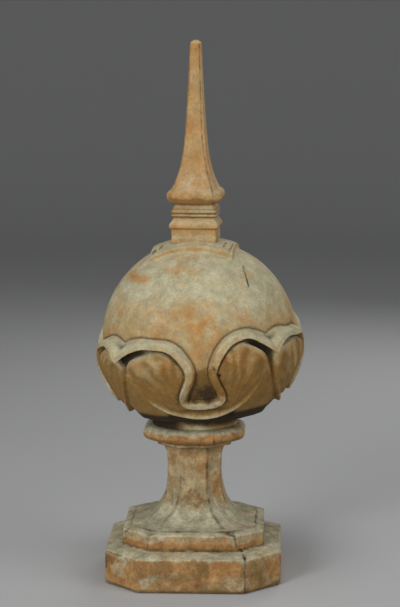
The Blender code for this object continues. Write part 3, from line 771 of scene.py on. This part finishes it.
def leafShade(skin):
    # painted shade and brown stain on the ball: in the clefts, under the lips and below the leaves, and painted light
    # on the seat, the leaves' feet and the closing lip
    pose = ballPose() @ Matrix.Rotation(math.radians(-ball["cupLean"]), 4, "Y")
    inverse = np.array(pose.inverted())
    points = skin.points @ inverse[:3, :3].T + inverse[:3, 3]
    around, across, up, depth = leafPlaces(points)
    flank = np.abs(across)
    off = np.linalg.norm(points, axis=1) - ball["radius"]
    level = skin.points[:, 2] - collarTop
    away = np.hypot(skin.points[:, 0] - ball["offset"], skin.points[:, 1])
    low = 1 - ease(off, 0.004, 0.01)
    lipFar = lipDistance(flank, up)
    crown = ease(up, -12.0, 2.0)
    # the round seat, with painted shadow at its top and painted light below it, and painted shade on the ball's
    # underside
    seat = 1 - ease(away - ball["seatRadius"], 0.001, 0.004)
    seat = seat * (level < ball["seatHeight"] + 0.002)
    drum = seat * ease(level + 0.006 * ease(around, -60.0, 20.0), 0.011, 0.018)
    below = np.maximum(ease(-up, 43.6, 44.6), (1 - ease(depth, -0.002, 0.0)) * ease(-up, 40.0, 43.0)) * (1 - seat)
    # painted shade between the lips, where two lips meet, beside a lip and under the cleft
    cleft = (1 - ease(flank, 7.0, 13.0)) * ease(-up, 6.0, 24.0) * (1 - ease(-up, 33.0, 36.0)) * low
    nook = (1 - ease(depth, -0.002, 0.002)) * ease(flank, 24.0, 34.0) * (1 - ease(off, 0.008, 0.014))
    nook = nook * ease(up, -14.0, -6.0) * (1 - ease(up, 2.0, 7.0))
    lipShadow = np.exp(-((lipFar - 0.009 - 0.001 * crown) / (0.0012 + 0.0008 * crown)) ** 2)
    lipShadow = lipShadow * ease(up, -36.0, -33.0) * (1 - ease(off, 0.011, 0.015))
    hollow = np.exp(-(across / 15) ** 4 - ((up + 37.0) / 2.2) ** 2)
    brow = np.exp(-(across / 10) ** 6 - ((up + 35.1) / 0.8) ** 2)
    # the blades, the lips' faces, and painted highlights on the leaves' feet and on the lip that closes the cleft
    blade = ease(depth, 0.004, 0.012) * ease(lipFar, 0.009, 0.012)
    lipFace = ease(off, 0.009, 0.012) * (1 - ease(lipFar, 0.008, 0.0105))
    foot = np.exp(-((depth - 0.0042) / 0.0034) ** 2) * ease(-up, 22.0, 36.0) * (1 - below)
    closing = np.exp(-(across / 12) ** 4 - ((up + 32.0) / 2.6) ** 2) * ease(off, 0.006, 0.01)
    # curved wipes of the modeller's fingers
    fan = np.degrees(np.arctan2(flank - 12.0, up + 52.0))
    wipes = np.sin(math.radians(360) * (fan / 8.0 + 0.9 * skin.grain(0.05, 3, 90)))
    shadowsAndWipes = {
        "wipes": blade * ease(wipes, 0.2, 1.0), "below": below, "drum": drum, "cleft": cleft,
        "nook": nook, "lipShadow": lipShadow, "hollow": hollow, "brow": brow,
    }
    brownAndShade = {"low": ease(-up, 2.0, 26.0), "cleft": cleft, "hollow": hollow, "blade": blade, "below": below}
    light = {"foot": foot, "closing": closing, "lip": lipFace, "seat": seat * (1 - drum)}
    shadeAndGrime = np.maximum.reduce([ball["shadeAndGrime"][kind] * field for kind, field in shadowsAndWipes.items()])
    stainAndShade = np.maximum.reduce([ball["stainAndShade"][kind] * field for kind, field in brownAndShade.items()])
    stainAndShade = (stainAndShade + 0.22 * wipes * blade) * (1 - 0.9 * foot) * (1 - closing) * (1 - 0.8 * lipFace)
    pale = sum(ball["pale"][kind] * field for kind, field in light.items())
    # less of the hollows' dirt and painted shade just above the lips
    hollowShare = 1 - 0.75 * (1 - ease(depth, -0.004, -0.001)) * ease(up, -20.0, -8.0)
    return shadeAndGrime, stainAndShade, pale, hollowShare


def mergeInto(bm, other):
    mesh = bpy.data.meshes.new("pattern")
    other.to_mesh(mesh)
    other.free()
    bm.from_mesh(mesh)
    bpy.data.meshes.remove(mesh)


def cutAway(bm, place, outward):
    # what lies beyond a plane goes, and the cut is closed
    bmesh.ops.bisect_plane(
        bm, geom=bm.verts[:] + bm.edges[:] + bm.faces[:], plane_co=place, plane_no=outward, clear_outer=True,
    )
    bmesh.ops.holes_fill(bm, edges=[e for e in bm.edges if e.is_boundary])


def squarePad():
    # the square pad, cut from a slightly larger ball
    pad = bmesh.new()
    bmesh.ops.create_uvsphere(pad, u_segments=128, v_segments=64, radius=domeRadius)
    turn = Matrix.Rotation(math.radians(ball["padTurn"]), 3, "Z")
    for direction, reach in (((1, 0, 0), ball["padHalf"]), ((0, 1, 0), ball["padHalfDepth"])):
        for sign in (-1, 1):
            outward = turn @ (sign * Vector(direction))
            cutAway(pad, outward * reach, outward)
    cutAway(pad, (0, 0, 0.3 * ball["radius"]), (0, 0, -1))
    return pad


def makeBall():
    s = ball
    bm = bmesh.new()
    bmesh.ops.create_icosphere(bm, subdivisions=8, radius=s["radius"])
    heights = leafHeights(np.array([v.co for v in bm.verts]))
    for vert, height in zip(bm.verts, heights):
        vert.co *= 1 + height / s["radius"]
    lips = bmesh.new()
    sweepLoop(lips, lipRings(), closed=True)
    mergeInto(bm, lips)
    bm.transform(Matrix.Rotation(math.radians(-s["cupLean"]), 4, "Y"))
    cutAway(bm, (0, 0, -s["undersideDrop"]), (0, 0, -1))
    mergeInto(bm, squarePad())
    bm.transform(ballPose())
    # the level seat on the collar
    foot = collarTop + s["bedGap"]
    top = collarTop + s["seatHeight"] + 0.02
    bmesh.ops.create_cone(
        bm, cap_ends=True, segments=96, radius1=s["seatRadius"], radius2=s["seatRadius"], depth=top - foot,
        matrix=Matrix.Translation((0.0, 0.0, (top + foot) / 2)),
    )
    piece = fuse(addPiece("ball_and_leaves", bm), s["voxel"])
    skin = Skin(piece)
    skin.points += 0.6 * (skin.spread(2) - skin.points)
    skin.refresh()
    weather(skin, s, 120)
    skin.points[:, 2] = np.maximum(skin.points[:, 2], foot)
    dark = scoreLines(skin, s["lines"])
    # the ball's painted shade and painted light, with its brown stain
    shadeAndGrime, stainAndShade, pale, hollowShare = leafShade(skin)
    finishSkin(skin, s["touches"], np.maximum(dark, shadeAndGrime), 1.0, stainAndShade, 0.0, pale, hollowShare)
    thin(piece, s["most"])
    dress(piece, weatheredClay("ballClay", s["finish"]), "leafed_ball")


spire = {
    "voxel": 0.0012, "tipLevel": 0.975,
    "neckHalf": 0.0402, "neckCut": 0.0015, "neckHeight": 0.0213,
    "dripHalf": 0.0442, "dripSoffit": 0.0425, "dripTop": 0.036, "dripHeight": 0.0208,
    "beadHalf": 0.0405, "beadQuirk": 0.0018, "lowerBead": 0.0064, "upperBead": 0.0083, "beadsSlope": 0.0085,
    "ringCut": 0.004, "undercutHalf": 0.033, "bellHalf": 0.0492, "bellRise": 0.0145, "flare": 0.0268,
    "flareLength": 0.0365, "bellCut": 0.0135, "bellCutLength": 0.018, "rollHalf": 0.043, "rollRise": 0.01,
    "tipHalf": 0.0092, "tipRounding": 0.0055, "nubHalf": 0.005, "nubRise": 0.0026,
    "cutShare": 0.12, "offset": 0.002, "turn": -3.8,
    # quirks above the drip, between the beads and under the bell: depths, half width, darkness
    "quirks": (0.0012, 0.002, 0.0006), "quirkWidth": 0.0013, "quirkDirt": 0.45,
    "wear": 0.0007, "wornBend": (0.00005, 0.0006), "chips": (-1.0, 0.7, 0.8), "chipSize": 0.012,
    "unevenness": 0.0004, "lumpSizes": (0.03, 0.008),
    "finish": {
        "clay": (0.43, 0.235, 0.083), "buff": (0.44, 0.292, 0.124), "bare": (0.5, 0.225, 0.07),
        "stainAndShade": (0.27, 0.142, 0.042), "bloomAndLight": (0.5, 0.412, 0.25), "moss": (0.36, 0.31, 0.175),
        "shadeAndGrime": (0.05, 0.03, 0.013), "buffAt": 0.5, "bareAt": 0.68, "bareSoft": 0.12, "bloomAt": 0.66,
        "mossAt": 0.66, "grain": 0.45, "mottle": 0.5,
    },
    "touches": {
        "barePatch": (
            # the second, an orange strip at the top of the neck, is painted shadow under the drip
            (-0.01, 0.82, 0.005, 0.014, 1.0), (0.0, 0.636, 0.05, 0.004, 0.8), (-0.03, 0.7, 0.014, 0.01, 0.6),
        ),
        "bloomAndLightPatch": (
            (0.0, 0.624, 0.05, 0.006, 1.2), (-0.01, 0.73, 0.022, 0.014, 0.5), (0.01, 0.676, 0.04, 0.004, 0.7),
        ),
        "stainAndShadePatch": (
            (0.0, 0.688, 0.06, 0.007, 1.0), (0.0, 0.96, 0.014, 0.016, 0.5),
        ),
    },
    # seams up the spike
    "lines": (
        (((0.0343, 0.686), (0.0334, 0.7074), (0.0245, 0.7344), (0.0177, 0.7722), (0.0132, 0.8062), (0.0107, 0.8828),
          (0.0083, 0.9677)), 0.0014, 0.0006, 0.75),
        (((-0.0358, 0.7176), (-0.0233, 0.7554), (-0.015, 0.8191), (-0.011, 0.8828), (-0.0068, 0.9677)),
         0.0013, 0.0004, 0.45),
    ),
}
neckBase = ballLevel + math.sqrt(domeRadius ** 2 - spire["neckHalf"] ** 2)
beadRise = spire["neckHeight"] + spire["dripHeight"]
grooveRise = beadRise + spire["lowerBead"]
beadsTop = grooveRise + spire["upperBead"]


def spireRings():
    # rise above the neck's base, half width and cut of the corners at each level
    s = spire
    undercutRise = beadsTop + s["beadsSlope"]
    bellRise = undercutRise + s["bellRise"]
    spike = s["tipLevel"] - neckBase - bellRise
    profile = [(-0.02, s["neckHalf"], s["neckCut"]), (s["neckHeight"], s["neckHalf"], s["neckCut"])]
    drip = (
        (0.02, s["dripSoffit"]), (0.08, s["dripHalf"] - 0.0006), (0.16, s["dripHalf"]), (0.34, s["dripHalf"]),
        (0.44, s["dripHalf"] - 0.001), (0.65, 0.5 * (s["dripHalf"] + s["dripTop"])), (0.97, s["dripTop"]),
    )
    for share, half in drip:
        profile.append((s["neckHeight"] + share * s["dripHeight"], half, s["neckCut"]))
    for base, height in ((beadRise, s["lowerBead"]), (grooveRise, s["upperBead"])):
        for step in range(9):
            angle = math.pi * step / 8
            half = s["beadHalf"] - s["beadQuirk"] * (1 - math.sin(angle) ** 0.6)
            profile.append((base + height * (0.02 + 0.96 * (1 - math.cos(angle)) / 2), half, s["ringCut"]))
    for t in (0.25, 0.5, 0.75, 1.0):
        half = s["beadHalf"] + (s["undercutHalf"] - s["beadHalf"]) * t ** 0.8
        profile.append((undercutRise - s["beadsSlope"] * (1 - t), half, s["ringCut"]))
    # the bell's underside
    for step in range(1, 9):
        angle = math.pi / 2 * step / 9
        half = s["undercutHalf"] + (s["bellHalf"] - s["undercutHalf"]) * math.sin(angle)
        cut = s["ringCut"] + (s["bellCut"] - s["ringCut"]) * math.sin(angle)
        profile.append((undercutRise + s["bellRise"] * (1 - math.cos(angle)), half, cut))
    # its rolled edge and the tapering spike
    taper = (s["bellHalf"] - s["flare"] - s["tipHalf"]) / spike
    for step in range(41):
        rise = (spike - s["tipRounding"]) * (step / 40) ** 1.5
        half = s["tipHalf"] + taper * (spike - rise) + s["flare"] * math.exp(-rise / s["flareLength"])
        if rise < s["rollRise"]:
            roll = math.sqrt(1 - (rise / s["rollRise"]) ** 2)
            half = max(half, s["rollHalf"] + (s["bellHalf"] - s["rollHalf"]) * roll)
        share = s["cutShare"] * half
        cut = share + (s["bellCut"] - share) * math.exp(-rise / s["bellCutLength"])
        profile.append((bellRise + rise, half, cut))
    # the rounded tip and its nub
    tipBase = profile[-1][1]
    shoulder = spike - s["tipRounding"]
    for share, half in ((0.25, 0.97 * tipBase), (0.42, 0.88 * tipBase), (0.52, 0.72 * tipBase)):
        profile.append((bellRise + shoulder + share * s["tipRounding"], half, 0.2 * half))
    for share, half in ((0.1, s["nubHalf"]), (0.7, s["nubHalf"]), (1.0, 0.7 * s["nubHalf"])):
        profile.append((bellRise + spike - s["nubRise"] * (1 - share), half, 0.3 * half))
    return [[(p.x, p.y, neckBase + rise) for p in cutSquare(half, half - cut, 0.0, 3)] for rise, half, cut in profile]


def makeSpire():
    s = spire
    bm = bmesh.new()
    sweepLoop(bm, spireRings())
    bm.transform(Matrix.Translation((s["offset"], 0, 0)) @ Matrix.Rotation(math.radians(s["turn"]), 4, "Z"))
    piece = fuse(addPiece("spire_and_neck", bm), s["voxel"])
    skin = Skin(piece)
    weather(skin, s, 220)
    # the foot lies on the pad
    away = np.hypot(skin.points[:, 0] - ball["offset"], skin.points[:, 1])
    bed = ballLevel + np.sqrt(np.maximum((domeRadius + ball["bedGap"]) ** 2 - away ** 2, 0))
    skin.points[:, 2] = np.maximum(skin.points[:, 2], bed)
    skin.refresh()
    dark = scoreLines(skin, s["lines"])
    for rise, depth in zip((beadRise, grooveRise, beadsTop), s["quirks"]):
        near = np.exp(-((skin.points[:, 2] - neckBase - rise) / s["quirkWidth"]) ** 2)
        skin.push(-depth * near)
        dark = np.maximum(dark, s["quirkDirt"] * near)
    finishSkin(skin, s["touches"], dark, 0.6)
    dress(piece, weatheredClay("spireClay", s["finish"]), "spire")


studio = {
    "floorColour": (0.46, 0.46, 0.46), "floorRoughness": 0.8, "floorReach": 5.0, "sweep": 3.0, "wallTop": 6.0,
    "worldColour": (0.55, 0.56, 0.58), "worldStrength": 0.26,
    # size in metres, power in watts, place and aim of each lamp
    "lamps": {
        "keyLamp": (1.1, 48.0, (-1.6, -2.9, 1.45), (0, 0, 0.42)),
        "fillLamp": (2.4, 42.0, (2.9, -1.6, 1.6), (0, 0, 0.45)),
        "topLamp": (1.8, 34.0, (-0.3, -0.9, 3.7), (0, 0, 0.6)),
        "lowLamp": (0.8, 13.0, (-1.7, -2.5, 0.6), (0, 0, 0.3)),
        "backLamp": (1.6, 16.0, (0.9, 2.4, 1.8), (0, 0, 0.55)),
    },
}
view = {"turn": 2.2, "tilt": 81.5, "distance": 3.6, "aside": 0.00936, "height": 1.037, "lens": 118.6, "sensor": 36.0}


def addLamp(name, size, energy, place, target):
    lamp = bpy.data.lights.new(name, "AREA")
    lamp.shape = "DISK"
    lamp.size = size
    lamp.energy = energy
    holder = bpy.data.objects.new(name, lamp)
    bpy.context.scene.collection.objects.link(holder)
    holder.location = place
    holder.rotation_euler = (Vector(target) - Vector(place)).to_track_quat("-Z", "Y").to_euler()


def makeStudio():
    # a round floor that sweeps up into a wall
    s = studio
    profile = [(0.0, 0.0), (s["floorReach"], 0.0)]
    for degrees in range(5, 91, 5):
        angle = math.radians(degrees)
        profile.append((s["floorReach"] + s["sweep"] * math.sin(angle), s["sweep"] - s["sweep"] * math.cos(angle)))
    profile.append((s["floorReach"] + s["sweep"], s["wallTop"]))
    bm = bmesh.new()
    verts = [bm.verts.new((reach, 0.0, level - 0.0005)) for reach, level in profile]
    edges = [bm.edges.new(pair) for pair in zip(verts, verts[1:])]
    bmesh.ops.spin(bm, geom=verts + edges, axis=(0, 0, 1), angle=math.radians(360), steps=96, use_merge=True)
    bmesh.ops.remove_doubles(bm, verts=bm.verts, dist=0.0001)
    bmesh.ops.recalc_face_normals(bm, faces=bm.faces)
    floor = addPiece("floor", bm)
    floor.data.shade_smooth()
    material = bpy.data.materials.new("paleFloor")
    material.use_nodes = True
    shader = material.node_tree.nodes["Principled BSDF"]
    shader.inputs["Base Color"].default_value = (*s["floorColour"], 1.0)
    shader.inputs["Roughness"].default_value = s["floorRoughness"]
    floor.data.materials.append(material)
    for name, settings in s["lamps"].items():
        addLamp(name, *settings)
    world = bpy.data.worlds.new("paleStudio")
    bpy.context.scene.world = world
    world.use_nodes = True
    world.node_tree.nodes["Background"].inputs["Color"].default_value = (*s["worldColour"], 1.0)
    world.node_tree.nodes["Background"].inputs["Strength"].default_value = s["worldStrength"]
    bpy.context.scene.view_settings.view_transform = "Standard"


def makeCamera():
    camera = bpy.data.cameras.new("camera")
    camera.sensor_fit = "VERTICAL"
    camera.sensor_height = view["sensor"]
    camera.lens = view["lens"]
    holder = bpy.data.objects.new("camera", camera)
    bpy.context.scene.collection.objects.link(holder)
    turn = math.radians(view["turn"])
    right = Vector((math.cos(turn), math.sin(turn), 0))
    back = Vector((math.sin(turn), -math.cos(turn), 0))
    holder.location = back * view["distance"] + right * view["aside"] + Vector((0, 0, view["height"]))
    holder.rotation_euler = (math.radians(view["tilt"]), 0, turn)
    bpy.context.scene.camera = holder


makePedestal()
print("pedestal: plinth, step, stem and collar")
makeBall()
print("ball: leaves, lips, pad and seat")
makeSpire()
print("spire: neck, drip, beads, bell and spike")
makeStudio()
makeCamera()
print("studio: floor, lamps and camera")
